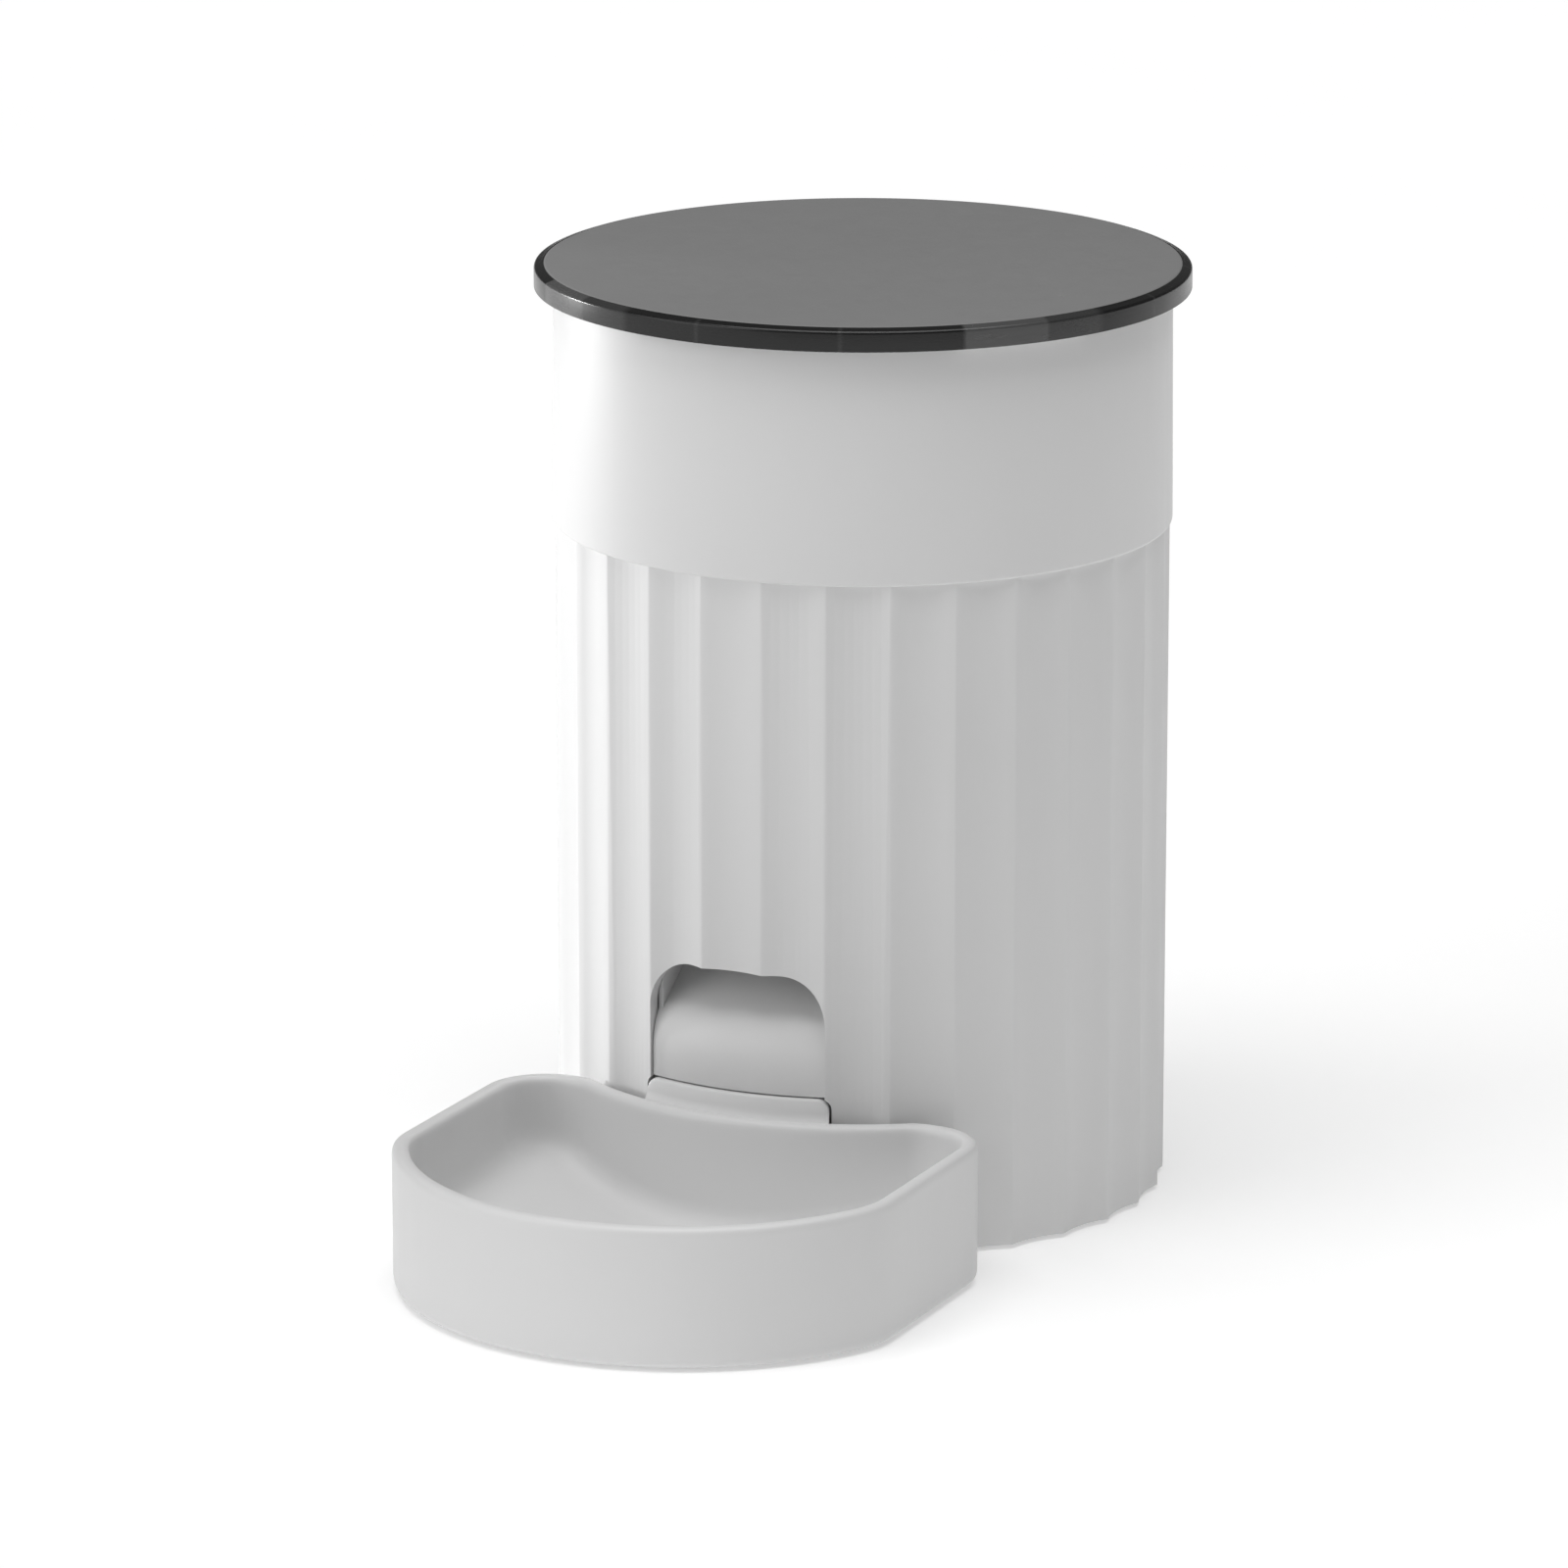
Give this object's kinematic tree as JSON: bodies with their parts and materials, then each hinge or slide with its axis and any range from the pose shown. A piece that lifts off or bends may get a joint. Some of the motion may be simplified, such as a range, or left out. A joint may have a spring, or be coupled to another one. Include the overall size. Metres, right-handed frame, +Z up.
{
  "type": "automatic pet feeder",
  "caption": "Round countertop-height automatic feeder: fluted housing, lift-out hopper with lid, gear-driven metering rotor, chute and slide-off food bowl.",
  "frame": {"origin": "middle of the plane the feet stand on, on the axis of the round housing", "axes": "+Z up; -Y towards the bowl and the front of the feeder; +X to the feeder's left as it faces the viewer, the viewer's right"},
  "size_m": [0.202, 0.316, 0.2906],
  "materials": {
    "white_plastic": "satin white moulded plastic",
    "lid_grey": "flat matte mid grey",
    "smoked_rim": "dark smoked translucent plastic",
    "tank_plastic": "natural food-safe plastic",
    "grey_plastic": "light grey moulded plastic",
    "dark_plastic": "charcoal moulded plastic",
    "gear_plastic": "natural acetal",
    "rotor_rubber": "soft grey-blue silicone rubber",
    "dark_rubber": "black silicone rubber",
    "bronze": "sintered bronze",
    "motor_steel": "plated steel can",
    "plated_steel": "nickel plated steel",
    "battery_jacket": "plain printed jacket with no lettering",
    "board_laminate": "green solder mask on glass laminate",
    "light_pipe": "clear diffusing plastic"
  },
  "bodies": {
    "housing": {"fluted_housing": "white_plastic", "base_plate": "white_plastic", "rubber_feet": "dark_rubber", "drive_deck": "white_plastic", "chute": "white_plastic", "outlet_sensors": "dark_plastic", "gear_case": "grey_plastic", "spindle_bush": "bronze", "motor": "motor_steel", "motor_cap": "dark_plastic", "battery_box": "grey_plastic", "batteries": "battery_jacket", "battery_contacts": "plated_steel", "circuit_board": "board_laminate", "board_parts": "dark_plastic", "power_inlet": "plated_steel", "status_light": "light_pipe", "deck_screws": "plated_steel", "base_screws": "plated_steel", "case_screws": "plated_steel", "motor_screws": "plated_steel", "board_screws": "plated_steel"},
    "door": {"battery_door": "white_plastic"},
    "button": {"feed_button": "white_plastic"},
    "pinion": {"motor_pinion": "gear_plastic", "motor_shaft": "plated_steel"},
    "drive": {"drive_gear": "gear_plastic", "drive_spindle": "plated_steel", "drive_coupling": "gear_plastic"},
    "tank": {"tank_shell": "white_plastic", "hopper_funnel": "tank_plastic", "rotor_chamber": "tank_plastic", "port_shield": "tank_plastic"},
    "rotor": {"rotor": "rotor_rubber", "stirrer": "rotor_rubber"},
    "lid": {"lid_disc": "lid_grey", "lid_rim": "smoked_rim", "lid_liner": "dark_plastic", "lid_seal": "dark_rubber", "desiccant_box": "dark_plastic", "desiccant_cover": "dark_plastic"},
    "bowl": {"bowl": "white_plastic", "bowl_base": "white_plastic", "bowl_pads": "dark_rubber"}
  },
  "joints": [
    {"name": "tank_lift", "type": "slide", "parent": "housing", "child": "tank", "axis": [0, 0, 1], "range_m": [0, 0.115]},
    {"name": "lid_lift", "type": "slide", "parent": "tank", "child": "lid", "axis": [0, 0, 1], "range_m": [0, 0.05]},
    {"name": "bowl_slide", "type": "slide", "parent": "housing", "child": "bowl", "axis": [0, -1, 0], "range_m": [0, 0.06]},
    {"name": "rotor_spin", "type": "hinge", "parent": "tank", "child": "rotor", "pos_m": [0, 0, 0.13], "axis": [0, 0, 1], "continuous": true},
    {"name": "drive_spin", "type": "hinge", "parent": "housing", "child": "drive", "pos_m": [0, 0, 0.108], "axis": [0, 0, 1], "continuous": true},
    {"name": "pinion_spin", "type": "hinge", "parent": "housing", "child": "pinion", "pos_m": [0, 0.0255, 0.108], "axis": [0, 0, 1], "continuous": true},
    {"name": "button_press", "type": "slide", "parent": "housing", "child": "button", "axis": [0, -1, 0], "range_m": [0, 0.0012], "stiffness_N_per_m": 500, "springref_m": -0.0008},
    {"name": "door_swing", "type": "hinge", "parent": "housing", "child": "door", "pos_m": [0, 0.0172, 0.0028], "axis": [1, 0, 0], "range_deg": [0, 70]}
  ],
  "couplings": [
    {"joint": "drive_spin", "follows": "rotor_spin", "ratio": 1},
    {"joint": "pinion_spin", "follows": "rotor_spin", "ratio": -2.4}
  ]
}
